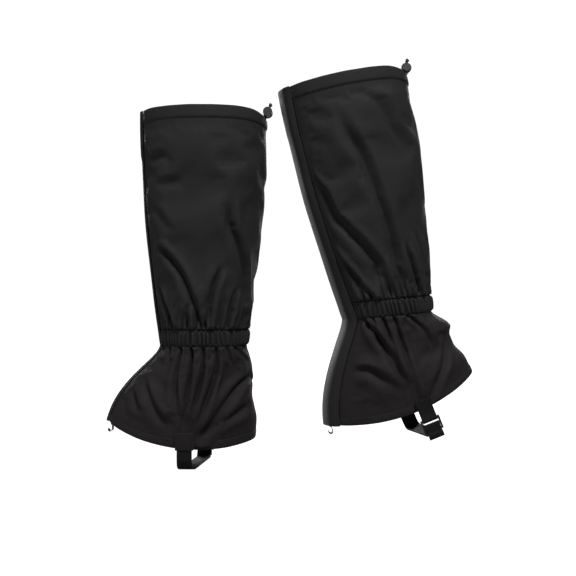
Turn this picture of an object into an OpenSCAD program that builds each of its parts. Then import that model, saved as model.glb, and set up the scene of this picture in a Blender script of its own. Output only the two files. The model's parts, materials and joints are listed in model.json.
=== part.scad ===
// A pair of high walking gaiters. The right one stands straight over a flat foot and the left one leans
// forward over a raised heel. Both are the same pattern, mirrored left to right.
// Each gaiter is drawn in its own leg frame: the origin is the centre of the ankle seam, -X is the toe side,
// +Z runs up the leg and +Y is the outer side of the leg. "Height" below is measured up the cloth from the
// ankle seam, so it is negative on the boot panels, and "proud" is how far a layer stands off the calf cloth.

/* [Leg opening] */
// Front-to-back length of the leg opening
rim_len = 169; // [150:1:180]
// Side-to-side width of the leg opening
rim_wid = 116; // [104:1:126]
// Height of the leg opening above the ankle seam
upper_len = 320; // [290:1:330]
// How far the drawcord pulls the rim down at the back
gather_dip = 11; // [8:1:13]
// Height of the drawcord channel
hem_band = 19; // [16:1:22]

/* [Ankle] */
// Front-to-back length at the ankle seam
ankle_len = 115; // [105:1:122]
// Side-to-side width at the ankle seam
ankle_wid = 90; // [84:1:98]
// Height of the elastic channel above the ankle seam
ankle_band = 24; // [20:1:28]

/* [Boot panels] */
// Length of cloth from the ankle seam to the bottom hem
lower_len = 132; // [124:1:138]
// How far the bottom hem reaches in front of the ankle's centre
toe_reach = 132; // [122:1:138]
// How far the bottom hem reaches behind the ankle's centre
heel_reach = 68; // [62:1:74]
// Drop of the front of the bottom hem below the ankle seam
front_drop = 103; // [98:1:108]
// Drop of the back of the bottom hem below the ankle seam
back_drop = 128; // [122:1:132]
// Side-to-side width at the bottom hem
hem_wid = 108; // [100:1:114]
// How much lower the sides of the bottom hem hang than its ends
side_dip = 18; // [12:1:20]

/* [Front closure] */
// Distance of the flap's sewn edge from the front centre line, on the inner side
flap_root = 8; // [6:1:12]
// Distance of the flap's free edge from the front centre line, on the outer side
flap_free = 30; // [28:1:34]
// Width of the hook and loop strips
closure_wid = 22; // [18:1:24]

/* [Straps] */
// Width of the webbing
strap_wid = 20; // [18:1:22]
// Thickness of the webbing
strap_th = 1.2; // [1:0.1:1.3]
// Drop of the foot strap below the ankle seam
strap_drop = 162; // [158:1:168]

/* [Stance] */
// Forward lean of the left leg, in degrees
left_lean = 11; // [0:0.5:14]
// Raise of the left heel, in degrees
left_raise = 22; // [10:1:24]

/* [Hidden] */

$fn = 48;

// A stance is [lean of the leg, tilt of the ankle seam, raise of the heel], in degrees. The ankle seam turns by
// ankle_share of the heel's raise.
ankle_share = 0.24;
RIGHT = [0, 0, 0];
LEFT = [left_lean, ankle_share * left_raise, left_raise];

// The two ankles, from the middle of the pair on the ground. The left gaiter is a stride behind.
right_place = [-112.5, 15, 164.5];
left_place = [136.5, -15, 206.5];

CALF = [0.17, 0.17, 0.18];
BOOT = [0.14, 0.13, 0.135];
TAPE = [0.12, 0.115, 0.115];
PLASTIC = [0.33, 0.34, 0.35];
METAL = [0.45, 0.46, 0.47];

cloth = 1.2;              // modelled thickness of one layer of cloth
fold = 0.8;               // modelled thickness of folded-over cloth
binding = 7;              // height of the bottom hem
tuck = 2;                 // from the edge of a panel to the fold of the hem that holds it
seam_gap = 0.3;           // between pieces that meet edge to edge, in millimetres or degrees
slit = 0.7;               // half the gap between the two front edges, in degrees
side_seam = 90;           // where the toe and heel panels meet, in degrees

// Layers, as [lowest, highest] distance proud of the calf cloth.
panel_layer = [-cloth, 0];
elastic_layer = [-1.4, 0.2];
hook_layer = [0.4, 0.9];
loop_layer = [1.3, 1.9];
flap_layer = [2.4, 3.8];
rim_layer = [-3.2, 2];
ankle_layer = [-3, 1.8];
binding_layer = [-2.6, 1.4];

flap_split = ankle_band + 2.5;  // height at which the flap's swinging part meets its fixed part
root_gap = 3;                   // from the flap's turning axis to the start of the flap
strip_to = flap_free - 4;       // the hook and loop strips' edges, from the front centre line
strip_from = strip_to - closure_wid;
strip_low = -lower_len + binding + 2;
strip_high = upper_len - hem_band - 2;

inner_tab_x = -22;        // the strap's sewn end, in the foot frame
outer_tab_x = -6;         // the buckle, in the foot frame
tab_top = 21;             // height of the tabs above the bottom hem

cord_r = 1.3;
cord_apart = 1.55;        // half the distance between the two strands in the lock
cord_tilt = 20;           // backward tilt of the strands, in degrees
cord_height = upper_len - 6;
cord_layer = -0.6;
lock_r = 6.3;
lock_bore_r = 4.8;
lock_run = 0.08;          // running clearance of the button in the barrel
lock_back = [-10, 7];     // ends of the barrel along its axis
lock_floor = 1.4;
button_travel = 3;
button_out = 4;
lock_at = [rim_len / 2 + 2, upper_len];
strand_reach = 9.2;       // from the lock's middle to the ends of the strands
strand_straight = 7.2;    // and to where they bend towards the channel
cord_foot = [rim_len / 2 + cord_layer, 0, cord_height - gather_dip + 4];

bar_r = 1.5;
bar_gap = 0.25;           // play between a bar and the webbing round it

function mix(a, b, t) = a + (b - a) * t;
function smooth(t) = t * t * (3 - 2 * t);
function turn(p, angle) = [p[0] * cos(angle) - p[1] * sin(angle), p[0] * sin(angle) + p[1] * cos(angle)];
function bezier(p, t) = p[0] * pow(1 - t, 3) + 3 * p[1] * t * pow(1 - t, 2)
    + 3 * p[2] * t * t * (1 - t) + p[3] * pow(t, 3);
function unit(v) = v / norm(v);

// Front and back outlines of the boot panels, from the ankle seam down to the bottom hem, as Bezier curves.
// Their handles are measured from the two ends: the upper one turns with the ankle seam and the lower one
// with the foot.
instep_handle = [-4, -18];
toe_handle = [15, front_drop * 0.54];
ankle_handle = [-2, -22];
heel_handle = [8, back_drop * 0.56];
heel_bunch = [0.6, 0.8];  // how far each degree of raise pushes the back out and up, in millimetres
function front_line(g) = [
    turn([-ankle_len / 2, 0], g[1]),
    turn([-ankle_len / 2, 0] + instep_handle, g[1]),
    turn([-toe_reach, -front_drop] + toe_handle, g[2]),
    turn([-toe_reach, -front_drop], g[2])
];
function back_line(g) = [
    turn([ankle_len / 2, 0], g[1]),
    turn([ankle_len / 2, 0] + ankle_handle, g[1]) + [heel_bunch[0] * g[2], 0],
    turn([heel_reach, -back_drop] + heel_handle, g[2]),
    turn([heel_reach, -back_drop], g[2]) + [0, heel_bunch[1] * g[2]]
];

// Half the width of the cloth at a height.
function half_wid(h) = h >= 0
    ? mix(ankle_wid, rim_wid, 1 - pow(1 - h / upper_len, 2)) / 2
    : mix(ankle_wid, hem_wid, smooth(min(1, -h / lower_len))) / 2;

// A point on the leg: angle 0 is the front and 90 the outer side, then height, then how far it stands proud.
function spot(g, angle, h, proud = 0) =
    h >= 0 ? upper_spot(g, angle, h, proud) : lower_spot(g, angle, h, proud);

function upper_spot(g, angle, h, proud) =
    let (
        u = h / upper_len,
        half_len = mix(ankle_len, rim_len, 1 - pow(1 - u, 2)) / 2 + proud,
        dip = gather_dip * pow(max(0, -cos(angle)), 8) * pow(u, 8),
        c = turn([0, h], g[0]) + turn([-half_len * cos(angle), -dip], mix(g[1], g[0], smooth(u)))
    )
    [c[0], (half_wid(h) + proud) * sin(angle), c[1]];

function lower_spot(g, angle, h, proud) =
    let (
        v = -h / lower_len,
        front = bezier(front_line(g), v),
        back = bezier(back_line(g), v),
        half_len = norm(back - front) / 2 + proud,
        c = (front + back) / 2 - unit(back - front) * half_len * cos(angle)
            + turn([0, -side_dip * v * pow(sin(angle), 2)], g[2] * v)
    )
    [c[0], (half_wid(h) + proud) * sin(angle), c[1]];

// The angle at a height that is y to the outer side of the front centre line.
function front_angle(h, y) = asin(y / half_wid(h));

// Every layer of cloth is sampled along the same lines, so that neighbouring layers can't cross. Lines across
// the cloth lie at these heights, from the bottom hem up to the drawcord channel.
boot_lines = 9;
calf_lines = 6;
levels = concat(
    [-lower_len + binding],
    [for (i = [boot_lines - 1:-1:1]) -lower_len * i / boot_lines],
    [0],
    [for (i = [0:calf_lines]) mix(ankle_band, upper_len - hem_band, i / calf_lines)]
);
function rows(low, high) = concat([low], [for (h = levels) if (h > low + 0.5 && h < high - 0.5) h], [high]);

// Lines along the cloth are numbered from the front opening's edge: under the flap, on to the outer side seam,
// round the back to the inner side seam, and on to the opening's other edge.
front_lanes = 10;
outer_seam = front_lanes + 8;
inner_seam = outer_seam + 18;
lanes = inner_seam + 9;
function flap_mark(i) = mix(-flap_root, flap_free, i / front_lanes);
function share(i, first, last) = (i - first) / (last - first);
function lane_angle(h, i) = i == 0 ? front_angle(h, -flap_root) + slit
    : i <= front_lanes ? front_angle(h, flap_mark(i))
    : i <= outer_seam ? mix(front_angle(h, flap_free), side_seam, share(i, front_lanes, outer_seam))
    : i <= inner_seam ? mix(side_seam, 360 - side_seam, share(i, outer_seam, inner_seam))
    : mix(360 - side_seam, 360 + front_angle(h, -flap_root) - slit, share(i, inner_seam, lanes));

// A closed solid through rings of points that run round the same closed outline. Point j of an end ring
// faces point m - 1 - j, which is how the two ends are capped.
module skin(rings) {
    n = len(rings);
    m = len(rings[0]);
    sides = [
        for (i = [0:n - 2], j = [0:m - 1])
            let (a = i * m + j, b = i * m + (j + 1) % m)
            each [[a, b, b + m], [a, b + m, a + m]]
    ];
    first_cap = [for (j = [0:m / 2 - 2]) each [[j, m - 2 - j, j + 1], [j, m - 1 - j, m - 2 - j]]];
    last = (n - 1) * m;
    last_cap = [for (f = first_cap) [f[0] + last, f[2] + last, f[1] + last]];
    polyhedron(points = [for (r = rings) each r], faces = concat(sides, first_cap, last_cap), convexity = 8);
}

// Cloth that runs round the leg between two lanes, and on to an angle before or after them if one is given.
// outline is a closed list of [height, proud].
module round_leg(g, outline, first = 0, last = lanes, from = undef, to = undef) {
    skin(concat(
        is_undef(from) ? [] : [[for (p = outline) spot(g, from, p[0], p[1])]],
        [for (i = [first:last]) [for (p = outline) spot(g, lane_angle(p[0], i), p[0], p[1])]],
        is_undef(to) ? [] : [[for (p = outline) spot(g, to, p[0], p[1])]]
    ));
}

// A strip down the front between two distances from the centre line.
module front_strip(g, outline, from, to) {
    marks = [for (i = [0:front_lanes]) if (flap_mark(i) > from + 0.5 && flap_mark(i) < to - 0.5) flap_mark(i)];
    skin([for (y = concat([from], marks, [to])) [for (p = outline) spot(g, front_angle(p[0], y), p[0], p[1])]]);
}

// A flat sheet's outline between two heights.
function sheet(low, high, layer) =
    let (heights = rows(low, high), n = len(heights) - 1)
    concat([for (h = heights) [h, layer[1]]], [for (i = [n:-1:0]) [heights[i], layer[0]]]);

// A folded channel's outline: two legs from open_h, joined by a fold at fold_h.
function channel(open_h, fold_h, layer) =
    let (low = layer[0], high = layer[1], inside_h = fold_h - sign(fold_h - open_h) * fold)
    [
        [open_h, high], [fold_h, high], [fold_h, low], [open_h, low],
        [open_h, low + fold], [inside_h, low + fold], [inside_h, high - fold], [open_h, high - fold]
    ];

// A section swept along a path. across holds a direction for each point: the section's own x runs along it.
module sweep(path, across, section) {
    n = len(path);
    skin([
        for (i = [0:n - 1])
            let (
                t = unit(path[min(i + 1, n - 1)] - path[max(i - 1, 0)]),
                s = unit(across[i] - (across[i] * t) * t),
                w = cross(t, s)
            )
            [for (p = section) path[i] + s * p[0] + w * p[1]]
    ]);
}

function disc(r, sides) =
    [for (i = [0:sides - 1]) let (a = 360 * (i + 0.5) / sides) r * [cos(a), sin(a)]];
function webbing(wid, th) = [[wid, th], [-wid, th], [-wid, -th], [wid, -th]] / 2;

// Turns a piece drawn for a flat foot to a raised heel.
module on_foot(g) {
    rotate([0, -g[2], 0]) children();
}

// Turns and moves a piece drawn upright at the leg opening to a leaning leg.
module on_leg(g) {
    rotate([0, -g[0], 0]) children();
}

module calf_panel(g) {
    color(CALF)
        round_leg(g, sheet(ankle_band + seam_gap, upper_len - hem_band + 5, panel_layer));
}

module top_hem(g) {
    color(CALF) difference() {
        round_leg(g, channel(upper_len - hem_band, upper_len, rim_layer));
        on_leg(g) translate([cord_foot[0], 0, upper_len - gather_dip])
            cube([3, 2 * (cord_apart + cord_r + 0.5), 4], center = true);
    }
}

// The two strands leave the channel at the middle of the back and pass side by side through the lock.
module drawcord(g) {
    along = [sin(cord_tilt), 0, cos(cord_tilt)];
    lock = [lock_at[0], 0, lock_at[1]];
    strand = [
        lock + strand_reach * along, lock + strand_straight * along, lock - strand_straight * along, cord_foot
    ];
    n = len(strand) - 1;
    turns = 44;
    loop_from = 174.5;
    loop = [
        for (i = [0:turns])
            let (angle = mix(loop_from, -loop_from, i / turns))
            [spot(g, angle, cord_height, cord_layer), [-cos(angle), sin(angle), 0]]
    ];
    outer_tail = [for (p = strand) leg_point(g, p + [0, cord_apart, 0])];
    inner_tail = [for (i = [n:-1:0]) leg_point(g, strand[i] - [0, cord_apart, 0])];
    back = leg_point(g, [1, 0, 0]);
    path = concat(outer_tail, [for (q = loop) q[0]], inner_tail);
    across = concat([for (p = strand) back], [for (q = loop) q[1]], [for (p = strand) back]);
    color(TAPE) sweep(path, across, disc(cord_r, 6));
}

function leg_point(g, p) = let (q = turn([p[0], p[2]], g[0])) [q[0], p[1], q[1]];

// The lock's own frame: +X runs up the strands, +Y is the button's side.
module at_lock(g) {
    on_leg(g) translate([lock_at[0], 0, lock_at[1]]) rotate([0, cord_tilt - 90, 0]) children();
}

module cord_end(g) {
    color(PLASTIC) at_lock(g) translate([strand_reach + 1.9, 0, 0]) difference() {
        hull() for (s = [-1, 1]) translate([0, s * cord_apart, 0]) sphere(r = 2.7, $fn = 20);
        translate([-4.7, 0, 0]) cube([6, 12, 8], center = true);
    }
}

module strand_slot(from, to) {
    translate([-10, from, -cord_r - 0.15]) cube([20, to - from, 2 * cord_r + 0.3]);
}

module cord_lock_body(g) {
    reach = cord_apart + cord_r + 0.15;
    color(PLASTIC) at_lock(g) difference() {
        union() {
            translate([0, lock_back[0], 0]) rotate([-90, 0, 0])
                cylinder(r = lock_r, h = lock_back[1] - lock_back[0]);
            translate([0, lock_back[1] - 2, 0]) rotate([-90, 0, 0]) cylinder(r = lock_r + 0.6, h = 1.6);
        }
        translate([0, lock_back[0] + lock_floor, 0]) rotate([-90, 0, 0]) cylinder(r = lock_bore_r, h = 30);
        strand_slot(-reach, reach);
    }
}

module cord_lock_button(g) {
    reach = cord_apart + cord_r + 0.1;
    inner_end = -reach - 0.9;
    color(PLASTIC * 1.3) at_lock(g) difference() {
        translate([0, inner_end, 0]) rotate([-90, 0, 0])
            cylinder(r = lock_bore_r - lock_run, h = lock_back[1] + button_out - inner_end);
        strand_slot(-reach, reach + button_travel);
    }
}

module cord_lock_spring(g) {
    low = lock_back[0] + lock_floor + 0.4;
    high = -cord_apart - cord_r - 1.4;
    turns = 3.5;
    steps = 36;
    color(METAL) at_lock(g) sweep(
        [
            for (i = [0:steps])
                let (a = 360 * turns * i / steps)
                [3.3 * cos(a), mix(low, high, i / steps), 3.3 * sin(a)]
        ],
        [for (i = [0:steps]) let (a = 360 * turns * i / steps) [cos(a), 0, sin(a)]],
        disc(0.32, 6)
    );
}

module ankle_channel(g) {
    color(CALF) round_leg(g, channel(seam_gap, ankle_band, ankle_layer));
}

module ankle_elastic(g) {
    color(TAPE) round_leg(g, sheet(3, ankle_band - 3, elastic_layer));
}

boot_sheet = sheet(-lower_len + tuck, -seam_gap, panel_layer);

module toe_panel_outer(g) {
    color(BOOT) round_leg(g, boot_sheet, last = outer_seam - 1, to = side_seam - seam_gap);
}

module heel_panel(g) {
    color(BOOT) round_leg(g, boot_sheet, outer_seam + 1, inner_seam - 1,
        side_seam + seam_gap, 360 - side_seam - seam_gap);
}

module toe_panel_inner(g) {
    color(BOOT) round_leg(g, boot_sheet, first = inner_seam + 1, from = 360 - side_seam + seam_gap);
}

module bottom_hem(g) {
    color(TAPE) round_leg(g, channel(-lower_len + binding, -lower_len, binding_layer));
}

// The flap's sewn edge lies just outside the opening's inner edge.
module storm_flap(g) {
    color(BOOT) front_strip(g, sheet(flap_split + 0.5, upper_len, flap_layer), root_gap - flap_root, flap_free);
}

module storm_flap_toe(g) {
    color(BOOT) front_strip(g, sheet(-lower_len, flap_split - 0.5, flap_layer), -flap_root - 2, flap_free);
}

calf_strip = [flap_split + 1.5, strip_high];
boot_strip = [strip_low, -3];

module closure_strip(g, span, layer) {
    color(TAPE) front_strip(g, sheet(span[0], span[1], layer), strip_from, strip_to);
}

module hook_strip(g) {
    closure_strip(g, calf_strip, hook_layer);
    closure_strip(g, boot_strip, hook_layer);
}

module loop_strip(g) {
    closure_strip(g, calf_strip, loop_layer);
}

module loop_strip_toe(g) {
    closure_strip(g, boot_strip, loop_layer);
}

hook_bar_r = 1.1;
hook_wid = 9;
hook_rise = 4;            // from the hook's bar down to the start of its bend
hook_drop = 7.5;          // and to the middle of its bend
lace_r = 2.4;
wire = 1;
hook_at = [-toe_reach + 4.9, -front_drop - 5.5];
hook_slope = atan2(toe_handle[0], toe_handle[1]);
hook_tab_len = 20;

// A formed metal hook that hangs from a webbing tab inside the front of the bottom hem. Its bend takes a lace.
// Its own frame has its origin in the middle of the bar.
module lace_hook(g) {
    wide = hook_wid + wire;
    color(METAL) on_foot(g) translate([hook_at[0], -wide / 2, hook_at[1]]) {
        rotate([-90, 0, 0]) cylinder(r = hook_bar_r, h = wide);
        for (y = [0, hook_wid]) translate([-wire / 2, y, -hook_rise]) cube([wire, wire, hook_rise]);
        translate([-wire / 2, 0, -hook_drop]) cube([wire, wide, hook_drop - hook_rise + 0.7]);
        translate([-lace_r - wire / 2, 0, -hook_drop]) rotate([-90, 0, 0]) difference() {
            cylinder(r = lace_r + wire, h = wide);
            translate([0, 0, -1]) cylinder(r = lace_r, h = wide + 2);
            translate([-10, -11.2, -1]) cube([10 + lace_r + wire, 10, wide + 2]);
        }
    }
}

// Webbing that goes down, round a bar at the origin and back up, in a plane square to the bar. The path is
// [distance out, height]; both ends are at the top and the two layers close up above the bar.
function loop_path(top, r, gap) = concat(
    [[-gap, top], [-gap, 4 * r], [-r, r / 2]],
    [for (i = [1:7]) r * [-cos(180 * i / 8), -sin(180 * i / 8)]],
    [[r, r / 2], [gap, 4 * r], [gap, top]]
);

// The tab leans back with the front of the boot panels.
module lace_hook_tab(g) {
    thick = 1;
    path = loop_path(hook_tab_len, hook_bar_r + bar_gap + thick / 2, 0.6);
    color(TAPE) on_foot(g) translate([hook_at[0], 0, hook_at[1]]) rotate([0, hook_slope, 0]) sweep(
        [for (p = path) [p[0], 0, p[1]]],
        [for (p = path) [0, 1, 0]],
        webbing(hook_wid - 2.4, thick)
    );
}

// Positions across the foot, in the foot frame: [distance to the outer side, height].
hem_level = -(front_drop + back_drop) / 2 - side_dip;
tab_out = hem_wid / 2 + 2.6;
loop_r = bar_r + bar_gap + strap_th / 2;
bar_at = [tab_out + strap_th / 2 + 0.1, hem_level - 6.5];
catch_at = bar_at - [0, 7.5];
lip_at = catch_at - [0, 7];
catch_r = 1.4;
patch_th = 1;

module strap_anchor_patch(g) {
    y = -tab_out - strap_th / 2 - seam_gap - patch_th / 2;
    color(TAPE) on_foot(g) translate([inner_tab_x, y, hem_level + tab_top / 2 - 1])
        cube([strap_wid + 4, patch_th, tab_top + 2], center = true);
}

module buckle_tab(g) {
    path = loop_path(hem_level + tab_top - bar_at[1], loop_r, strap_th / 2 + 0.1);
    color(TAPE) on_foot(g) translate([outer_tab_x, bar_at[0], bar_at[1]]) sweep(
        [for (p = path) [0, p[0], p[1]]],
        [for (p = path) [1, 0, 0]],
        webbing(strap_wid, strap_th)
    );
}

// Points on an arc about a centre, from one angle to another.
function arc(centre, r, from, to, steps) =
    [for (i = [0:steps]) let (a = mix(from, to, i / steps)) centre + r * [cos(a), sin(a)]];

// The strap is sewn under the inner patch, runs under the foot, turns over the buckle's middle bar and
// hangs down outside as a short doubled tail.
module foot_strap(g) {
    corner = 16;
    wrap_r = catch_r + bar_gap + strap_th / 2;
    outer_y = catch_at[0] - wrap_r;
    low = -strap_drop;
    path = concat(
        [[-tab_out, hem_level + tab_top - 3], [-tab_out, low + corner]],
        arc([corner - tab_out, low + corner], corner, 202.5, 270, 3),
        arc([outer_y - corner, low + corner], corner, 270, 360, 4),
        arc(catch_at, wrap_r, 180, 0, 8),
        [[catch_at[0] + wrap_r, low + 12], [catch_at[0] + wrap_r + 0.6, low - 1.5]]
    );
    n = len(path) - 1;
    color(TAPE) on_foot(g) sweep(
        [
            for (i = [0:n])
                let (across = smooth(min(1, max(0, (i - 3) / 5))))
                [mix(inner_tab_x, outer_tab_x, across), path[i][0], path[i][1]]
        ],
        [for (i = [0:n]) [1, 0, 0]],
        webbing(strap_wid, strap_th)
    );
}

module rod(x, at, r, long) {
    translate([x - long / 2, at[0], at[1]]) rotate([0, 90, 0]) cylinder(r = r, h = long);
}

module buckle(g) {
    rail = 2.2;
    wid = strap_wid + 1.2 + 2 * rail;
    color(PLASTIC) on_foot(g) {
        rod(outer_tab_x, bar_at, bar_r, wid - 0.2);
        rod(outer_tab_x, catch_at, catch_r, wid - 0.2);
        rod(outer_tab_x, lip_at, 1.2, wid - 0.2);
        for (s = [-1, 1])
            translate([outer_tab_x + s * (wid - rail) / 2, 0, 0]) hull() {
                rod(0, bar_at, 2, rail);
                rod(0, lip_at, 1.6, rail);
            }
    }
}

module right_leg() {
    translate(right_place) children();
}

module left_leg() {
    translate(left_place) mirror([0, 1, 0]) children();
}

right_leg() calf_panel(RIGHT);  // right_calf_panel
right_leg() top_hem(RIGHT);  // right_top_hem
right_leg() drawcord(RIGHT);  // right_drawcord
right_leg() cord_end(RIGHT);  // right_cord_end
right_leg() cord_lock_body(RIGHT);  // right_cord_lock_body
right_leg() cord_lock_button(RIGHT);  // right_cord_lock_button
right_leg() cord_lock_spring(RIGHT);  // right_cord_lock_spring
right_leg() ankle_channel(RIGHT);  // right_ankle_channel
right_leg() ankle_elastic(RIGHT);  // right_ankle_elastic
right_leg() toe_panel_outer(RIGHT);  // right_toe_panel_outer
right_leg() toe_panel_inner(RIGHT);  // right_toe_panel_inner
right_leg() heel_panel(RIGHT);  // right_heel_panel
right_leg() bottom_hem(RIGHT);  // right_bottom_hem
right_leg() storm_flap(RIGHT);  // right_storm_flap
right_leg() storm_flap_toe(RIGHT);  // right_storm_flap_toe
right_leg() hook_strip(RIGHT);  // right_hook_strip
right_leg() loop_strip(RIGHT);  // right_loop_strip
right_leg() loop_strip_toe(RIGHT);  // right_loop_strip_toe
right_leg() lace_hook(RIGHT);  // right_lace_hook
right_leg() lace_hook_tab(RIGHT);  // right_lace_hook_tab
right_leg() strap_anchor_patch(RIGHT);  // right_strap_anchor_patch
right_leg() foot_strap(RIGHT);  // right_foot_strap
right_leg() buckle_tab(RIGHT);  // right_buckle_tab
right_leg() buckle(RIGHT);  // right_buckle

left_leg() calf_panel(LEFT);  // left_calf_panel
left_leg() top_hem(LEFT);  // left_top_hem
left_leg() drawcord(LEFT);  // left_drawcord
left_leg() cord_end(LEFT);  // left_cord_end
left_leg() cord_lock_body(LEFT);  // left_cord_lock_body
left_leg() cord_lock_button(LEFT);  // left_cord_lock_button
left_leg() cord_lock_spring(LEFT);  // left_cord_lock_spring
left_leg() ankle_channel(LEFT);  // left_ankle_channel
left_leg() ankle_elastic(LEFT);  // left_ankle_elastic
left_leg() toe_panel_outer(LEFT);  // left_toe_panel_outer
left_leg() toe_panel_inner(LEFT);  // left_toe_panel_inner
left_leg() heel_panel(LEFT);  // left_heel_panel
left_leg() bottom_hem(LEFT);  // left_bottom_hem
left_leg() storm_flap(LEFT);  // left_storm_flap
left_leg() storm_flap_toe(LEFT);  // left_storm_flap_toe
left_leg() hook_strip(LEFT);  // left_hook_strip
left_leg() loop_strip(LEFT);  // left_loop_strip
left_leg() loop_strip_toe(LEFT);  // left_loop_strip_toe
left_leg() lace_hook(LEFT);  // left_lace_hook
left_leg() lace_hook_tab(LEFT);  // left_lace_hook_tab
left_leg() strap_anchor_patch(LEFT);  // left_strap_anchor_patch
left_leg() foot_strap(LEFT);  // left_foot_strap
left_leg() buckle_tab(LEFT);  // left_buckle_tab
left_leg() buckle(LEFT);  // left_buckle
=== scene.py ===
"""The looks of a pair of walking gaiters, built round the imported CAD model.

Lengths are millimetres until a mesh is made. Each gaiter is drawn in its own leg frame, as in the CAD source:
the origin is the centre of the ankle seam, -X is the toe side, +Z runs up the leg and +Y is the leg's outer
side. An angle of 0 is the front and 90 the outer side. A height is measured up the cloth from the ankle seam,
so it is negative on the boot panels, and "proud" is how far a layer stands off the calf cloth.
"""

import json
import math

import bmesh
import bpy
import numpy as np
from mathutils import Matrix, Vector


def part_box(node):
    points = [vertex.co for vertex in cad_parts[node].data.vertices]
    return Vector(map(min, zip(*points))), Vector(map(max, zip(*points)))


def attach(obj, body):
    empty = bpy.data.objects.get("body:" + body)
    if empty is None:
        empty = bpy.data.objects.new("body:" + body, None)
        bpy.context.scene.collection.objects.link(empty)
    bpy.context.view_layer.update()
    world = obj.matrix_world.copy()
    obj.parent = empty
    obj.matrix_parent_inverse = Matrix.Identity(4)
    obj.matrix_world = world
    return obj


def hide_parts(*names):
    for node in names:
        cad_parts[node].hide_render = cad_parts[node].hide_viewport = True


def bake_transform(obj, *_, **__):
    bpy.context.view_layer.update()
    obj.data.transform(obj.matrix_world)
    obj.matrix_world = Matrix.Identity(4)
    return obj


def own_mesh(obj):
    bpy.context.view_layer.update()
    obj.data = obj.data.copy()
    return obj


MM = 0.001

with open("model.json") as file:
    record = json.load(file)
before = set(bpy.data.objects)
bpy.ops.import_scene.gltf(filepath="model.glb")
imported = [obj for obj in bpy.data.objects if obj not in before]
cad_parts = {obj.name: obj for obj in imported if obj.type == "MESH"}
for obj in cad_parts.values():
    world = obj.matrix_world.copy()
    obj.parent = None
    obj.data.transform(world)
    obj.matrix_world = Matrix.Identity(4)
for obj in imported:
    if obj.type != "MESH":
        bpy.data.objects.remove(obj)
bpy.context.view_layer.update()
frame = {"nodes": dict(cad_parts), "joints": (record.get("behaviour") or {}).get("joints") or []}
joints = {joint["name"]: joint for joint in frame["joints"]}


# ---------------------------------------------------------------- the pattern, read from the frame

def box_mm(node):
    low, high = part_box(node)
    return np.array(low) / MM, np.array(high) / MM


# How far the drawcord channel, the ankle channel and the bottom hem stand proud in the CAD
HEM_PROUD = 2.0
BAND_PROUD = 1.8
BINDING_PROUD = 1.4
SEAM_GAP = 0.3          # from the ankle seam to the cloth on either side of it

hem_low, hem_high = box_mm("right_top_hem")
band_low, band_high = box_mm("right_ankle_channel")
foot_low, foot_high = box_mm("right_bottom_hem")
hook_pin = np.array(joints["right_lace_hook_pivot"]["pos_m"]) / MM

RIM_LEN, RIM_WID = (hem_high - hem_low)[:2] - 2 * HEM_PROUD
ORIGIN = np.array([*(hem_high + hem_low)[:2] / 2, band_low[2] - SEAM_GAP])
UPPER_LEN = hem_high[2] - ORIGIN[2]
ANKLE_BAND = band_high[2] - ORIGIN[2]
band_share = 1 - (1 - ANKLE_BAND / UPPER_LEN) ** 2
band_rim = band_share * np.array([RIM_LEN, RIM_WID])
ANKLE_LEN, ANKLE_WID = ((band_high - band_low)[:2] - 2 * BAND_PROUD - band_rim) / (1 - band_share)
HEM_WID = (foot_high - foot_low)[1] - 2 * BINDING_PROUD
TOE_REACH = ORIGIN[0] - foot_low[0] - BINDING_PROUD
HEEL_REACH = foot_high[0] - ORIGIN[0] - BINDING_PROUD
HOOK_DROP = 5.5         # from the bottom hem at the front to the lace hook's pivot
FRONT_DROP = ORIGIN[2] - hook_pin[2] - HOOK_DROP
SIDE_DIP = 18.0         # how far the bottom hem dips at the sides
PATCH_TOP = 21.0        # from the bottom hem at the sides to the top of the strap's patch
side_level = box_mm("right_strap_anchor_patch")[1][2] - PATCH_TOP - ORIGIN[2]
BACK_DROP = 2 * (-side_level - SIDE_DIP) - FRONT_DROP
LOWER_LEN = 132.0
GATHER_DIP = 11.0       # how far the drawcord pulls the rim down at the back
HEM_BAND = 19.0         # height of the drawcord channel
BINDING = 7.0           # height of the bottom hem
FLAP_ROOT = 8.0         # from the front centre line to the flap's sewn edge
FLAP_FREE = 30.0        # and to its free edge
CLOSURE_WID = 22.0      # width of the hook and loop strips
TILT_SHARE = 0.24       # how much of the foot's raise the ankle seam takes up


def mix(a, b, t):
    return a + (b - a) * t


def smooth(t):
    t = np.clip(t, 0, 1)
    return t * t * (3 - 2 * t)


def step(low, high, x):
    return smooth((x - low) / (high - low))


def sine(degrees):
    return np.sin(np.radians(degrees))


def cosine(degrees):
    return np.cos(np.radians(degrees))


def bell(x, width):
    """1 where x is 0, falling to nearly 0 at two widths from it."""
    return np.exp(-(x / width) ** 2)


def turn(x, z, degrees):
    cos, sin = cosine(degrees), sine(degrees)
    return x * cos - z * sin, x * sin + z * cos


def bezier(points, t):
    weights = [(1 - t) ** 3, 3 * t * (1 - t) ** 2, 3 * t * t * (1 - t), t ** 3]
    return [sum(p[axis] * w for p, w in zip(points, weights)) for axis in (0, 1)]


def half_wid(h):
    upper = mix(ANKLE_WID, RIM_WID, 1 - (1 - np.maximum(h, 0) / UPPER_LEN) ** 2)
    lower = mix(ANKLE_WID, HEM_WID, smooth(-h / LOWER_LEN))
    return np.where(h >= 0, upper, lower) / 2


def front_angle(h, y):
    """The angle at a height that is y to the outer side of the front centre line."""
    return np.degrees(np.arcsin(y / half_wid(h)))


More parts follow.
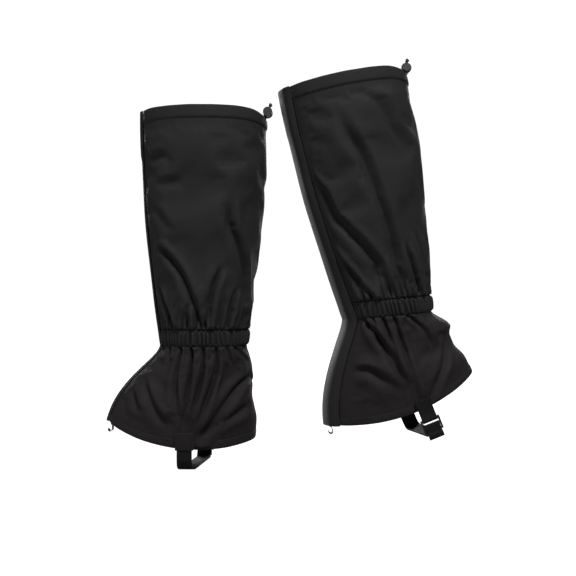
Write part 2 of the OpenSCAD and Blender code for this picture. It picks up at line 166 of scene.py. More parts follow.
class Leg:
    """One gaiter: where its cloth lies, and which way its layers face."""

    def __init__(self, side, lean, raised, origin, outer):
        self.side, self.lean, self.raised = side, lean, raised
        self.tilt = raised * TILT_SHARE
        self.origin, self.outer = origin, outer
        self.body = side + "_gaiter"

    def name(self, piece):
        return f"{self.side}_{piece}"

    def world(self, points):
        return points * [1, self.outer, 1] + self.origin

    def local(self, point_m):
        return (np.array(point_m) / MM - self.origin) * [1, self.outer, 1]

    def turned(self, points, degrees):
        x, z = turn(points[..., 0], points[..., 2], degrees)
        return self.world(np.stack([x, points[..., 1], z], -1))

    def on_leg(self, points):
        return self.turned(points, self.lean)

    def on_foot(self, points):
        return self.turned(points, self.raised)

    def spot(self, angle, h, proud=0.0):
        """Points on the cloth, for arrays of angles in degrees, heights and layers."""
        angle, h, proud = np.broadcast_arrays(*(np.asarray(v, float) for v in (angle, h, proud)))
        cos, sin = cosine(angle), sine(angle)
        u = np.clip(h, 0, None) / UPPER_LEN
        half = mix(ANKLE_LEN, RIM_LEN, 1 - (1 - u) ** 2) / 2 + proud
        dip = GATHER_DIP * np.clip(-cos, 0, None) ** 8 * u ** 8
        cx, cz = turn(0 * h, np.clip(h, 0, None), self.lean)
        dx, dz = turn(-half * cos, -dip, mix(self.tilt, self.lean, smooth(u)))
        upper = np.stack([cx + dx, cz + dz], -1)

        v = np.clip(-h, 0, None) / LOWER_LEN
        front, back = bezier(self.front_line(), v), bezier(self.back_line(), v)
        ex, ez = back[0] - front[0], back[1] - front[1]
        length = np.hypot(ex, ez)
        half = length / 2 + proud
        sx, sz = turn(0 * v, -SIDE_DIP * v * sin ** 2, self.raised * v)
        lower = np.stack([
            (front[0] + back[0]) / 2 - ex / length * half * cos + sx,
            (front[1] + back[1]) / 2 - ez / length * half * cos + sz,
        ], -1)
        xz = np.where((h >= 0)[..., None], upper, lower)
        y = (half_wid(h) + proud) * sin
        return self.world(np.stack([xz[..., 0], y, xz[..., 1]], -1))

    def front_line(self):
        ankle, instep = turn(-ANKLE_LEN / 2, 0, self.tilt), turn(-ANKLE_LEN / 2 - 4, -18, self.tilt)
        toe = turn(-TOE_REACH + 15, -FRONT_DROP * 0.46, self.raised)
        return [ankle, instep, toe, turn(-TOE_REACH, -FRONT_DROP, self.raised)]

    def back_line(self):
        knee = turn(ANKLE_LEN / 2 - 2, -22, self.tilt)
        hem = turn(HEEL_REACH, -BACK_DROP, self.raised)
        return [turn(ANKLE_LEN / 2, 0, self.tilt), (knee[0] + 0.6 * self.raised, knee[1]),
                turn(HEEL_REACH + 8, -BACK_DROP * 0.44, self.raised), (hem[0], hem[1] + 0.8 * self.raised)]


def left_stance():
    """The left leg's lean and heel raise, from the directions of its cord lock and of its buckle's bar."""
    strands = joints["left_cord_lock_slide"]["axis"]
    upright = joints["right_cord_lock_slide"]["axis"]
    bar = joints["left_buckle_pivot"]["axis"]
    lean = math.degrees(math.atan2(upright[0], upright[2]) - math.atan2(strands[0], strands[2]))
    raised = math.degrees(math.atan2(-bar[2], -bar[0]))
    return lean, raised


def left_origin(raised):
    """The left gaiter's ankle, found from its buckle, which hangs in the same place on both feet."""
    right = np.array(joints["right_buckle_pivot"]["pos_m"]) / MM - ORIGIN
    left = np.array(joints["left_buckle_pivot"]["pos_m"]) / MM
    x, z = turn(right[0], right[2], raised)
    return left - [x, -right[1], z]


left_lean, left_raised = left_stance()
RIGHT = Leg("right", 0.0, 0.0, ORIGIN, 1)
LEFT = Leg("left", left_lean, left_raised, left_origin(left_raised), -1)


# ---------------------------------------------------------------- meshes

def make_object(name, points, faces, uvs=None):
    """A smooth-shaded mesh from points in millimetres. uvs holds one point in millimetres for each vertex."""
    mesh = bpy.data.meshes.new(name)
    mesh.vertices.add(len(points))
    mesh.vertices.foreach_set("co", (np.asarray(points) * MM).astype(np.float32).ravel())
    faces = np.asarray(faces, np.int32)
    mesh.loops.add(faces.size)
    mesh.loops.foreach_set("vertex_index", faces.ravel())
    mesh.polygons.add(len(faces))
    mesh.polygons.foreach_set("loop_start", np.arange(0, faces.size, faces.shape[1], dtype=np.int32))
    mesh.polygons.foreach_set("use_smooth", np.ones(len(faces), bool))
    if uvs is not None:
        layer = mesh.uv_layers.new(name="mm")
        layer.data.foreach_set("uv", np.asarray(uvs)[faces.ravel()].astype(np.float32).ravel())
    mesh.update(calc_edges=True)
    mesh.validate()
    thing = bpy.data.objects.new(name, mesh)
    bpy.context.scene.collection.objects.link(thing)
    return thing


def grid_faces(rows, cols):
    a = (np.arange(rows - 1)[:, None] * cols + np.arange(cols - 1)[None]).ravel()
    return np.stack([a, a + 1, a + cols + 1, a + cols], 1)


def normals(grid):
    """Unit normals of a grid of points, by central differences."""
    n = np.cross(np.gradient(grid, axis=1), np.gradient(grid, axis=0))
    return n / np.maximum(np.linalg.norm(n, axis=-1, keepdims=True), 1e-9)


def lengths(path):
    """The distance from a path's start to each of its points."""
    return np.concatenate([[0], np.cumsum(np.linalg.norm(np.diff(path, axis=0), axis=1))])


def cloth_mm(grid):
    """Cloth coordinates of a grid in millimetres: across its columns, then along its rows."""
    across = np.linalg.norm(np.diff(grid, axis=1), axis=-1).mean(0)
    along = np.linalg.norm(np.diff(grid, axis=0), axis=-1).mean(1)
    return np.stack(np.meshgrid(*(np.append(0, np.cumsum(pitch)) for pitch in (across, along))), -1)


def sheet(name, grid, thickness):
    """A closed sheet of even thickness about a grid of points (rows, columns, 3)."""
    rows, cols = grid.shape[:2]
    n = normals(grid) * thickness / 2
    uv = cloth_mm(grid).reshape(-1, 2)
    points = np.concatenate([(grid + n).reshape(-1, 3), (grid - n).reshape(-1, 3)])
    half = rows * cols
    top = grid_faces(rows, cols)
    bottom = half + top[:, ::-1]
    index = np.arange(half).reshape(rows, cols)
    rim = np.concatenate([index[0], index[1:, -1], index[-1, -2::-1], index[-2:0:-1, 0]])
    following = np.roll(rim, -1)
    wall = np.stack([rim, rim + half, following + half, following], 1)
    faces = np.concatenate([top, bottom, wall])
    return outward(make_object(name, points, faces, np.concatenate([uv, uv])))


def outward(thing):
    """Turns a closed mesh's faces to the outside."""
    bm = bmesh.new()
    bm.from_mesh(thing.data)
    bmesh.ops.recalc_face_normals(bm, faces=bm.faces)
    bm.to_mesh(thing.data)
    bm.free()
    return thing


def tube(name, path, radius, sides, across=None):
    """A closed round cord along a path. across is the direction of the first corner of its section."""
    tangent = np.gradient(path, axis=0)
    tangent /= np.linalg.norm(tangent, axis=1, keepdims=True)
    side = np.zeros_like(path)
    side[0] = np.cross(tangent[0], [0.3, 1, 0.2]) if across is None else across
    for i in range(1, len(path)):
        side[i] = side[i - 1] - tangent[i] * (side[i - 1] @ tangent[i])
    side[0] -= tangent[0] * (side[0] @ tangent[0])
    side /= np.linalg.norm(side, axis=1, keepdims=True)
    other = np.cross(tangent, side)
    a = np.arange(sides) * 2 * np.pi / sides
    rings = path[:, None] + radius * (
        np.cos(a)[None, :, None] * side[:, None] + np.sin(a)[None, :, None] * other[:, None])
    points = np.concatenate([rings.reshape(-1, 3), path[[0, -1]]])
    j = np.arange(sides)
    k = (j + 1) % sides
    last = (len(path) - 1) * sides
    start = np.arange(0, last, sides)[:, None]
    a0, a1, b0, b1 = start + j, start + k, start + sides + j, start + sides + k
    faces = np.concatenate([
        np.stack([a0, a1, b1], -1).reshape(-1, 3), np.stack([a0, b1, b0], -1).reshape(-1, 3),
        np.stack([k, j, 0 * j + last + sides], 1),
        np.stack([last + j, last + k, 0 * j + last + sides + 1], 1),
    ])
    along = lengths(path)
    uv = np.stack(np.meshgrid(radius * a, along), -1).reshape(-1, 2)
    return outward(make_object(name, points, faces, np.concatenate([uv, [[0, 0], [0, along[-1]]]])))


def spline(points, steps):
    """A smooth curve through points (Catmull-Rom), with steps points between each two."""
    p = np.asarray(points, float)
    q = np.concatenate([[2 * p[0] - p[1]], p, [2 * p[-1] - p[-2]]])
    out = []
    for a, b, c, d in zip(q, q[1:], q[2:], q[3:]):
        t = np.linspace(0, 1, steps, endpoint=False)[:, None]
        out.append(0.5 * (2 * b + (c - a) * t + (2 * a - 5 * b + 4 * c - d) * t ** 2
                          + (3 * b - a - 3 * c + d) * t ** 3))
    out.append(p[-1:])
    return np.concatenate(out)


def resample(path, pitch):
    """Points at even distances along a path, about pitch apart."""
    along = lengths(path)
    count = max(2, int(round(along[-1] / pitch)) + 1)
    at = np.linspace(0, along[-1], count)
    return np.stack([np.interp(at, along, values) for values in path.T], 1)


THREAD_R = 0.24
STITCH_PITCH = 3.2
STITCH_SHARE = 0.74     # how much of each pitch shows thread


def stitches(name, rows):
    """Rows of stitches as small closed capsules. A row is a path on the surface with its outward normals."""
    sides, rings = 6, [(-1.0, 0.25), (-0.8, 0.8), (-0.35, 1.0), (0.35, 1.0), (0.8, 0.8), (1.0, 0.25)]
    a = np.arange(sides) * 2 * np.pi / sides
    capsules = []
    for path, normal in rows:
        both = resample(np.concatenate([path, normal], 1), STITCH_PITCH)
        spots, out = both[:, :3], both[:, 3:]
        for p, q, n in zip(spots, spots[1:], out):
            n = n / np.linalg.norm(n)
            middle, half = (p + q) / 2, (q - p) / 2 * STITCH_SHARE
            side = np.cross(half / np.linalg.norm(half), n)
            capsules += [
                middle + half * along + THREAD_R * wide * (np.cos(a)[:, None] * side + np.sin(a)[:, None] * n)
                + n * THREAD_R * (0.5 - 0.9 * along ** 2)
                for along, wide in rings
            ]
    faces, top = [], sides * (len(rings) - 1)
    for b in range(0, top, sides):
        for j in range(sides):
            k = (j + 1) % sides
            faces += [(b + j, b + k, b + sides + k), (b + j, b + sides + k, b + sides + j)]
    for j in range(1, sides - 1):
        faces += [(0, j + 1, j), (top, top + j, top + j + 1)]
    points = np.concatenate(capsules)
    starts = np.arange(0, len(points), sides * len(rings))
    return make_object(name, points, (starts[:, None, None] + faces).reshape(-1, 3), points[:, :2])


# ---------------------------------------------------------------- folds

# A fold is a crease line on the cloth through (angle, height) points, after its half width and its depth.
# Angles count from the front towards the side that the list is named for.
INNER_FOLDS = [
    (7, 2.6, [(35, 135), (50, 125), (70, 90), (90, 26)]),
    (8, 2.6, [(118, 205), (120, 165), (130, 135), (142, 95), (150, 26)]),
    (6, 2.4, [(112, 110), (102, 70), (96, 26)]),
    (6, 2.0, [(28, 85), (50, 26)]),
    (11, 0.8, [(30, 290), (60, 295)]),
    (10, 1.0, [(30, 250), (60, 255)]),
    (10, 0.7, [(40, 215), (75, 220)]),
    (9, 0.8, [(35, 190), (60, 150)]),
    (14, 0.8, [(145, 290), (165, 210)]),
    (5, 1.8, [(130, 80), (122, 26)]),
    (5, 1.8, [(75, 60), (72, 26)]),
    (5, 1.6, [(86, 50), (84, 26)]),
]
INNER_BOOT_FOLDS = [
    (4.5, 2.4, [(60, -2), (70, -55), (90, -115)]),
    (4, 2.6, [(76, -2), (86, -55), (92, -115)]),
    (4, 2.4, [(92, -2), (98, -55), (95, -115)]),
    (4.5, 2.6, [(110, -2), (112, -50), (100, -120)]),
    (5, 1.8, [(40, -4), (48, -35)]),
    (6, 1.8, [(35, -65), (60, -95), (84, -120)]),
    (6, 1.5, [(30, -85), (55, -110)]),
    (8, 2.2, [(170, -60), (138, -75), (105, -120)]),
    (8, 1.8, [(165, -95), (130, -105), (105, -122)]),
    (6, 1.8, [(140, -4), (165, -40)]),
    (4, 2.0, [(126, -2), (132, -40)]),
]
OUTER_FOLDS = [
    (9, 2.4, [(75, 290), (80, 250), (90, 210), (95, 175), (100, 135), (105, 80), (106, 26)]),
    (9, 2.6, [(10, 215), (40, 180), (50, 140), (60, 120), (80, 80), (94, 26)]),
    (6, 2.2, [(8, 125), (40, 85), (70, 26)]),
    (6, 1.8, [(8, 98), (30, 60), (45, 26)]),
    (11, 1.3, [(100, 300), (115, 270), (125, 240), (140, 205)]),
    (5, 2.4, [(118, 95), (124, 60), (133, 26)]),
    (6, 1.6, [(140, 110), (145, 75), (150, 26)]),
    (5, 1.4, [(80, 70), (84, 26)]),
    (5, 1.6, [(55, 50), (60, 26)]),
]
OUTER_BOOT_FOLDS = [
    (6, 3.2, [(50, -2), (65, -25), (80, -55), (90, -90), (96, -125)]),
    (4, 1.8, [(78, -2), (88, -60), (96, -125)]),
    (4, 2.0, [(92, -2), (98, -60), (99, -125)]),
    (5, 2.2, [(112, -2), (125, -35), (127, -75)]),
    (7, 2.2, [(45, -80), (62, -78), (80, -95), (94, -122)]),
    (6, 1.2, [(30, -50), (50, -45)]),
    (6, 1.6, [(150, -46), (146, -80), (121, -112), (106, -128)]),
    (4, 1.6, [(64, -2), (74, -40)]),
]
CLOTH_R = 60.0          # mean radius that turns an angle into a length on the cloth
ANKLE_R = 52.0          # the same at the ankle
BOOT_R = 54.0           # and on the boot
CALF_DEPTH = 2.6        # how much deeper the folds are than listed
BOOT_DEPTH = 2.4
HIGH_HEEL = 22.0        # the raise of the foot, in degrees, at which the heel's cloth bunches as listed
DEEPEST = 8.0           # the most that a fold stands off the pattern or sinks into it
FLAP_PRESS = 0.2        # how far the flap presses down the cloth under it


def at_seam(h):
    return -5 < h < ANKLE_BAND + 4 or h < -LOWER_LEN + 20


def crease(angle, h, points, width, depth):
    """The relief of one crease: a groove with a low roll of cloth on either side, fading at its ends."""
    line = spline(points, 6)
    x, y = np.radians(angle) * CLOTH_R, h
    lx, ly = np.radians(line[:, 0]) * CLOTH_R, line[:, 1]
    best = np.full(angle.shape, 1e9)
    signed, along = np.zeros(angle.shape), np.zeros(angle.shape)
    count = len(line) - 1
    for i in range(count):
        dx, dy = lx[i + 1] - lx[i], ly[i + 1] - ly[i]
        size = math.hypot(dx, dy)
        t = np.clip(((x - lx[i]) * dx + (y - ly[i]) * dy) / size ** 2, 0, 1)
        ox, oy = x - lx[i] - t * dx, y - ly[i] - t * dy
        distance = np.hypot(ox, oy)
        nearer = distance < best
        best = np.where(nearer, distance, best)
        signed = np.where(nearer, np.sign(dx * (y - ly[i]) - dy * (x - lx[i])) * distance, signed)
        along = np.where(nearer, (i + t) / count, along)
    first, last = points[0][1], points[-1][1]
    fade = 1 if at_seam(first) else smooth(along / 0.3)
    fade = fade * (1 if at_seam(last) else smooth((1 - along) / 0.3))
    groove = -np.exp(-(best / (0.62 * width)) ** 2)
    crest = np.exp(-(np.abs(signed - 1.15 * width) / (0.8 * width)) ** 1.35)
    roll = np.exp(-((signed + 1.3 * width) / width) ** 2)
    return depth * fade * (groove + 0.9 * crest + 0.45 * roll)


def gathers(angle, h, start, way, reach, depth, rng):
    """Small pleats that run up (way 1) or down (way -1) from a seam and open out as they go."""
    out = np.zeros(angle.shape)
    away = (h - start) * way
    spots = [0.0]
    while spots[-1] < 356:
        spots.append(spots[-1] + rng.uniform(5.0, 8.5))
    for at in spots[:-1]:
        long, deep = reach * rng.uniform(0.35, 1.0), depth * rng.uniform(0.5, 1.0)
        slant = rng.uniform(-0.14, 0.14)
        wide = rng.uniform(1.7, 2.6)
        t = np.clip(away / long, 0, 1)
        x = np.radians((angle - at + 180) % 360 - 180) * ANKLE_R - slant * away
        out -= deep * (1 - smooth(t)) * np.exp(-(x / (wide * (1 + 1.6 * t))) ** 2)
    return (out + 0.35 * depth * (1 - smooth(away / reach))) * step(-3, 0, away)


def band_ribs(leg, angle, h):
    """The ruched ribs of the ankle channel, about 5.5 mm apart but never even: 1 on a rib, -1 between two."""
    rng = np.random.default_rng(1 if leg is RIGHT else 2)
    around = np.radians(angle)
    phase = 56 * around
    for turns, size in ((3, 1.8), (7, 1.5), (16, 0.9)):
        phase = phase + size * np.sin(turns * around + rng.uniform(0, 6.28))
    lean = 0.9 * np.sin(4 * around + rng.uniform(0, 6.28)) + 0.6 * np.sin(11 * around + rng.uniform(0, 6.28))
    phase = phase + lean * (h - ANKLE_BAND / 2) / 9
    strength = 0.85 + 0.35 * np.sin(5 * around + rng.uniform(0, 6.28))
    return strength * (1 - 2 * np.abs(np.cos(phase / 2)) ** 2.2)


def swell(angle, h, rng, size, depth):
    """Slow, seeded undulation of the cloth, the same at 0 and 360 degrees, with smaller waves on top."""
    out = np.zeros(angle.shape)
    for wave in range(18):
        busy = 1 if wave < 7 else 3
        turns, rise = rng.integers(1, 5) * busy, busy * rng.uniform(-1.6, 1.6) / size
        phase = 2 * np.pi * rise * h + rng.uniform(0, 2 * np.pi)
        out += np.sin(np.radians(turns * angle) + phase) / busy ** 1.3
    return depth * out / 7 ** 0.5


def under_flap(angle, h, reach=7.0):
    """1 where the storm flap covers the cloth, falling to 0 a little way outside it."""
    y = half_wid(h) * sine(angle)
    front = cosine(angle) > 0
    sewn = step(-FLAP_ROOT - 3 - reach, -FLAP_ROOT - 2, y)
    return front * sewn * (1 - step(FLAP_FREE + 2, FLAP_FREE + 2 + reach, y))


def both_sides(angle, h, inner, outer):
    """Creases on both sides of a gaiter. Angle runs from 0 to 360, with the outer side first."""
    out = np.zeros(angle.shape)
    for width, depth, points in outer:
        out += crease(angle, h, points, width, depth)
    for width, depth, points in inner:
        out += crease(360 - angle, h, points, width, depth)
    return out


def soft_limit(relief):
    """Keeps the cloth within DEEPEST of its pattern, without a hard edge where it is reached."""
    return DEEPEST * np.tanh(relief / DEEPEST)


def calf_relief(leg, angle, h):
    rng = np.random.default_rng(11 if leg is RIGHT else 23)
    angle = angle % 360
    out = CALF_DEPTH * both_sides(angle, h, INNER_FOLDS, OUTER_FOLDS) + swell(angle, h, rng, 150, 1.1)
    out += gathers(angle, h, ANKLE_BAND - 1, 1, 62, 4.6, rng)
    out *= step(ANKLE_BAND - 2, ANKLE_BAND + 2.5, h)
    out += 1.8 * band_ribs(leg, angle, h) * (1 - step(ANKLE_BAND + 1, ANKLE_BAND + 24, h))
    out *= 1 - step(UPPER_LEN - HEM_BAND - 22, UPPER_LEN - HEM_BAND, h)
    return mix(soft_limit(out), -FLAP_PRESS, under_flap(angle, h))


def boot_relief(leg, angle, h):
    rng = np.random.default_rng(5 if leg is RIGHT else 8)
    angle = angle % 360
    out = BOOT_DEPTH * both_sides(angle, h, INNER_BOOT_FOLDS, OUTER_BOOT_FOLDS)
    out += swell(angle, h, rng, 80, 0.9)
    out += gathers(angle, h, -0.5, -1, 46, 4.0, rng)
    out += 1.6 * band_ribs(leg, angle, h) * (1 - step(0, 14, -h))
    out *= step(0, 5, -h) * mix(0.3, 1.0, step(-LOWER_LEN + 6, -LOWER_LEN + 26, h))
    out *= 1 - 0.7 * np.clip(-cosine(angle), 0, 1) ** 2 * step(-70, -45, h)
    seam = np.radians(np.minimum(np.abs(angle - 90), np.abs(angle - 270))) * BOOT_R
    tacked = (1 - step(9, 16, seam)) * (1 - step(-LOWER_LEN + 14, -LOWER_LEN + 60, h))
    out = mix(out, -0.3, tacked)
    out += 0.35 * bell(seam - 3, 2) - 0.3 * bell(seam, 0.9)
    return mix(soft_limit(out) + heel_bunch(leg, angle, h), -FLAP_PRESS, under_flap(angle, h))


def heel_bunch(leg, angle, h):
    """Cloth that bunches over the heel, more so where the foot is raised, and draws in below that."""
    back = np.clip(-cosine(angle), 0, 1) ** 2
    raised = leg.raised / HIGH_HEEL
    over = mix(2.5, 9.0, raised) * smooth(-h / 36) * np.exp(-(np.maximum(-h - 44, 0) / 14) ** 2)
    under = mix(1.5, 5.0, raised) * bell(h + 88, 17)
    return back * (over - under)


# ---------------------------------------------------------------- materials

def connect(tree, node, values):
    """Sets a node's inputs: a socket is linked, and anything else is its value."""
    for key, value in values.items():
        if isinstance(value, bpy.types.NodeSocket):
            tree.links.new(value, node.inputs[key])
        else:
            node.inputs[key].default_value = value


def add(tree, kind, values=None, **settings):
    node = tree.nodes.new("ShaderNode" + kind)
    for key, value in settings.items():
        setattr(node, key, value)
    connect(tree, node, values or {})
    return node


class Finish:
    """A material as it is built from nodes. u runs across the cloth and v along it, in millimetres."""

    def __init__(self, name):
        self.material = bpy.data.materials.new(name)
        self.material.use_nodes = True
        self.tree = self.material.node_tree
        self.shader = self.tree.nodes["Principled BSDF"]
        self.uv = self.node("UVMap", uv_map="mm").outputs[0]
        self.u, self.v = self.node("SeparateXYZ", {0: self.uv}).outputs[:2]

    def node(self, kind, values=None, **settings):
        return add(self.tree, kind, values, **settings)

    def calc(self, operation, a, b=0.0, c=0.0):
        return self.node("Math", {0: a, 1: b, 2: c}, operation=operation).outputs[0]

    def sum(self, base, *terms):
        """base plus each term's value times its size. Terms are (value, size)."""
        for value, size in terms:
            base = self.calc("MULTIPLY_ADD", value, size, base)
        return base

    def wave(self, value, turns=1.0, shift=0.0):
        return self.calc("SINE", self.calc("MULTIPLY_ADD", value, turns, shift))

    def noise(self, size, detail=2.0, rough=0.5, vector=None):
        """Noise from -0.5 to 0.5 with features of about a size."""
        values = {"Vector": vector or self.uv, "Scale": 1.0 / size, "Detail": detail, "Roughness": rough}
        return self.calc("SUBTRACT", self.node("TexNoise", values).outputs[0], 0.5)

    def ramp(self, value, low, high, **settings):
        return self.node("MapRange", {0: value, 1: low, 2: high}, **settings).outputs[0]

    def made(self, color, tone, height, distance=MM, strength=1.0, **values):
        """Joins the color times a tone and the bump to the shader, and sets its other values."""
        paint = self.node("VectorMath", {0: color, "Scale": tone}, operation="SCALE")
        bump = self.node("Bump", {"Height": height, "Distance": distance, "Strength": strength})
        values = {key.replace("_", " "): value for key, value in values.items()}
        values.update({"Base Color": paint.outputs[0], "Normal": bump.outputs[0]})
        connect(self.tree, self.shader, values)
        return self.material


def woven(name, color, pitch, slant=0.0, wear_and_crease_shade=0.5, crumple=0.1, painted_sheen=0.0):
    """Woven cloth. pitch is the distance between yarns in millimetres, and a slant above 0 makes it a twill.
    The last setting lays a painted sheen: how much paler the colour is made along the cloth's middle where it
    turns away, standing in for a reflection of the bright surroundings."""
    cloth = Finish(name)
    k = 2 * math.pi / pitch
    wander = cloth.calc("MULTIPLY_ADD", cloth.noise(6.0), 0.8, 0.4)
    warp = cloth.wave(cloth.sum(cloth.u, (cloth.v, slant)), k, wander)
    weave = cloth.calc("MULTIPLY", warp, cloth.wave(cloth.v, k, wander))
    grain = cloth.noise(0.8, 3.0, 0.7)
    cloud = cloth.noise(26.0, 3.0, 0.55)
    ripple = cloth.noise(4.5, 3.0, 0.6)
    # from pointiness: lighter ridges as rubbed wear, and painted shade darkening the creases between folds
    worn = cloth.calc("SUBTRACT", cloth.node("NewGeometry").outputs["Pointiness"], 0.5)
    tone = cloth.sum(1.0, (worn, 6.0 * wear_and_crease_shade), (cloud, 0.32), (grain, 0.5), (weave, 0.10))
    tone = cloth.calc("MAXIMUM", tone, 0.3)
    if painted_sheen:
        # painted sheen: paler colour where the surface turns away, in place of a grazing reflection
        away = cloth.node("LayerWeight", {"Blend": 0.5}).outputs["Facing"]
        away = cloth.ramp(away, 0.28, 0.62, interpolation_type="SMOOTHSTEP")
        middle = cloth.calc("SUBTRACT", cloth.ramp(cloth.u, 9.0, 14.0), cloth.ramp(cloth.u, 31.0, 35.0))
        tone = cloth.sum(tone, (cloth.calc("MULTIPLY", away, middle), painted_sheen))
    relief = 0.05
    height = cloth.sum(0.0, (weave, relief), (ripple, 2 * crumple), (grain, relief))
    return cloth.made(color, tone, height, Roughness=cloth.sum(0.75, (cloud, 0.25)), Sheen_Weight=0.02,
                      Sheen_Roughness=0.35, Sheen_Tint=(1, 1, 1, 1), Specular_IOR_Level=0.25)


def ribbed(name, color, pitch, relief=0.12, sheen=0.0):
    """Woven tape: ribs across its width, with a fine twill along them."""
    tape = Finish(name)
    across = 1.1
    zigzag = tape.calc("PINGPONG", tape.u, across)
    ribs = tape.wave(tape.sum(tape.v, (zigzag, 0.9)), 2 * math.pi / pitch)
    cords = tape.wave(tape.u, math.pi / across)
    grain = tape.noise(0.7, 3.0, 0.7)
    tone = tape.sum(1.0, (ribs, 0.16), (cords, 0.08), (grain, 0.5), (tape.noise(14.0), 0.4))
    height = tape.sum(0.0, (ribs, relief), (cords, relief * 0.6), (grain, relief * 0.5))
    return tape.made(color, tone, height, Roughness=0.62, Sheen_Weight=sheen, Specular_IOR_Level=0.2)


def pile(name, color, tuft, depth):
    """Hook or loop tape: a dense field of small tufts in rows."""
    tape = Finish(name)
    spots = tape.node("TexVoronoi", {"Vector": tape.uv, "Scale": 1 / tuft, "Randomness": 0.55})
    cells, fuzz = spots.outputs["Distance"], tape.noise(0.35, 3.0, 0.8)
    tone = tape.sum(1.5, (cells, -0.9), (fuzz, 0.4))
    height = tape.sum(0.0, (cells, -depth), (fuzz, depth * 0.6))
    return tape.made(color, tone, height, Roughness=0.85, Sheen_Weight=0.25)


def braid(name, color):
    """Braided cord: two sets of strands that cross."""
    cord = Finish(name)
    one = cord.wave(cord.calc("ADD", cord.u, cord.v), 3.1)
    two = cord.wave(cord.calc("SUBTRACT", cord.u, cord.v), 3.1)
    cross = cord.calc("MAXIMUM", one, two)
    return cord.made(color, cord.sum(1.0, (cross, 0.25)), cross, distance=0.18 * MM, Roughness=0.7)


def moulded(name, color, roughness, clear=0.0, metal=0.0):
    """Moulded plastic or coated metal with a fine grain, small scuffs and lighter worn edges."""
    part = Finish(name)
    place = part.node("TexCoord").outputs["Object"]
    scuff = part.noise(1.4 * MM, 4.0, 0.8, vector=place)
    edge = part.calc("SUBTRACT", part.node("NewGeometry").outputs["Pointiness"], 0.52)
    worn = part.calc("MAXIMUM", edge, 0.0)
    tone = part.sum(1.0, (part.noise(5 * MM, 3.0, vector=place), 0.3), (worn, 4.0))
    return part.made(color, tone, part.noise(0.25 * MM, vector=place), distance=0.02 * MM, strength=0.6,
                     Roughness=part.sum(roughness, (scuff, 0.4)), Transmission_Weight=clear, Metallic=metal)


BOOT_COLOR = (0.0172, 0.0143, 0.0156)
CALF_CLOTH = woven("calf_cloth", (0.0190, 0.0190, 0.0194), 0.7)
BOOT_CLOTH = woven("boot_cloth", BOOT_COLOR, 0.9, slant=0.5, crumple=0.12)
# the flap cloth's colour carries a painted sheen along its middle
FLAP_CLOTH = woven("flap_cloth", (0.0200, 0.0196, 0.0202), 0.9, painted_sheen=7.0)
BINDING_CLOTH = woven("binding_cloth", BOOT_COLOR, 0.9, slant=0.5, wear_and_crease_shade=0.6)
WEBBING = ribbed("webbing", (0.0078, 0.0072, 0.0073), 1.5)
ELASTIC = ribbed("elastic", (0.02, 0.02, 0.02), 1.0, relief=0.1, sheen=0.08)
HOOK_TAPE = pile("hook_tape", (0.014, 0.014, 0.014), 0.9, 0.35)
LOOP_TAPE = pile("loop_tape", (0.018, 0.018, 0.018), 1.3, 0.3)
CORD = braid("cord", (0.03, 0.03, 0.031))
THREAD = braid("thread", (0.008, 0.008, 0.008))
LOCK_PLASTIC = moulded("lock_plastic", (0.062, 0.064, 0.066), 0.3, clear=0.15)
BUTTON_PLASTIC = moulded("button_plastic", (0.085, 0.087, 0.09), 0.3, clear=0.25)
BUCKLE_PLASTIC = moulded("buckle_plastic", (0.010, 0.010, 0.0105), 0.45)
SPRING_STEEL = moulded("spring_steel", (0.6, 0.6, 0.6), 0.25, metal=1.0)
HOOK_METAL = moulded("hook_metal", (0.09, 0.09, 0.092), 0.32, metal=1.0)


def dress(thing, material, slot, leg=None, body=None, stands_for=()):
    """Gives a piece its material, and says what it rides on and stands for. The slot is not used."""
    thing.data.materials.clear()
    thing.data.materials.append(material)
    if stands_for:
        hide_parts(*[leg.name(node) for node in stands_for])
    if body:
        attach(thing, body)
    return thing


# ---------------------------------------------------------------- cloth that goes round the leg

CLOTH = 1.0             # thickness of a single layer of cloth
SLIT = 0.7              # half the gap between the two front edges, in degrees
AROUND = 330            # columns round the leg
OUTER_SEAM = 89         # the columns that lie on the side seams
INNER_SEAM = 254
RIB_COLUMNS = 520       # columns round the ankle channel, whose ribs are fine


def round_columns(heights):
    """Angles from one edge of the front opening, round the back, to the other, for each height."""
    edge = front_angle(heights, -FLAP_ROOT)[:, None]
    i = np.arange(AROUND)[None]
    outer = mix(edge + SLIT, 90, i / OUTER_SEAM)
    back = mix(90, 270, (i - OUTER_SEAM) / (INNER_SEAM - OUTER_SEAM))
    inner = mix(270, edge + 360 - SLIT, (i - INNER_SEAM) / (AROUND - 1 - INNER_SEAM))
    return np.where(i < OUTER_SEAM, outer, np.where(i < INNER_SEAM, back, inner))


def round_grid(leg, heights, relief, layer):
    angle = round_columns(heights)
    h = np.repeat(heights[:, None], AROUND, 1)
    return leg.spot(angle, h, layer + relief(leg, angle, h)), angle, h


SIM_SKIP = 3            # the simulated cloth has every third row and column
SIM_FRAMES = 22
SIM_SETTINGS = {        # shrink_min below 0 is how much too big the cloth is
    "quality": 4, "mass": 0.15, "tension_stiffness": 12, "compression_stiffness": 12, "shear_stiffness": 6,
    "bending_stiffness": 2.0, "air_damping": 4, "vertex_group_mass": "sewn", "shrink_min": -0.014,
}


def every(skip, count):
    """Every skip-th index of count, with the last one."""
    return np.unique(np.append(np.arange(0, count, skip), count - 1))


def spread(values, rows, cols, shape):
    """Fills in a coarse grid's values between its rows and columns."""
    wide = np.stack([np.interp(np.arange(shape[1]), cols, row) for row in values])
    return np.stack([np.interp(np.arange(shape[0]), rows, col) for col in wide.T], 1)


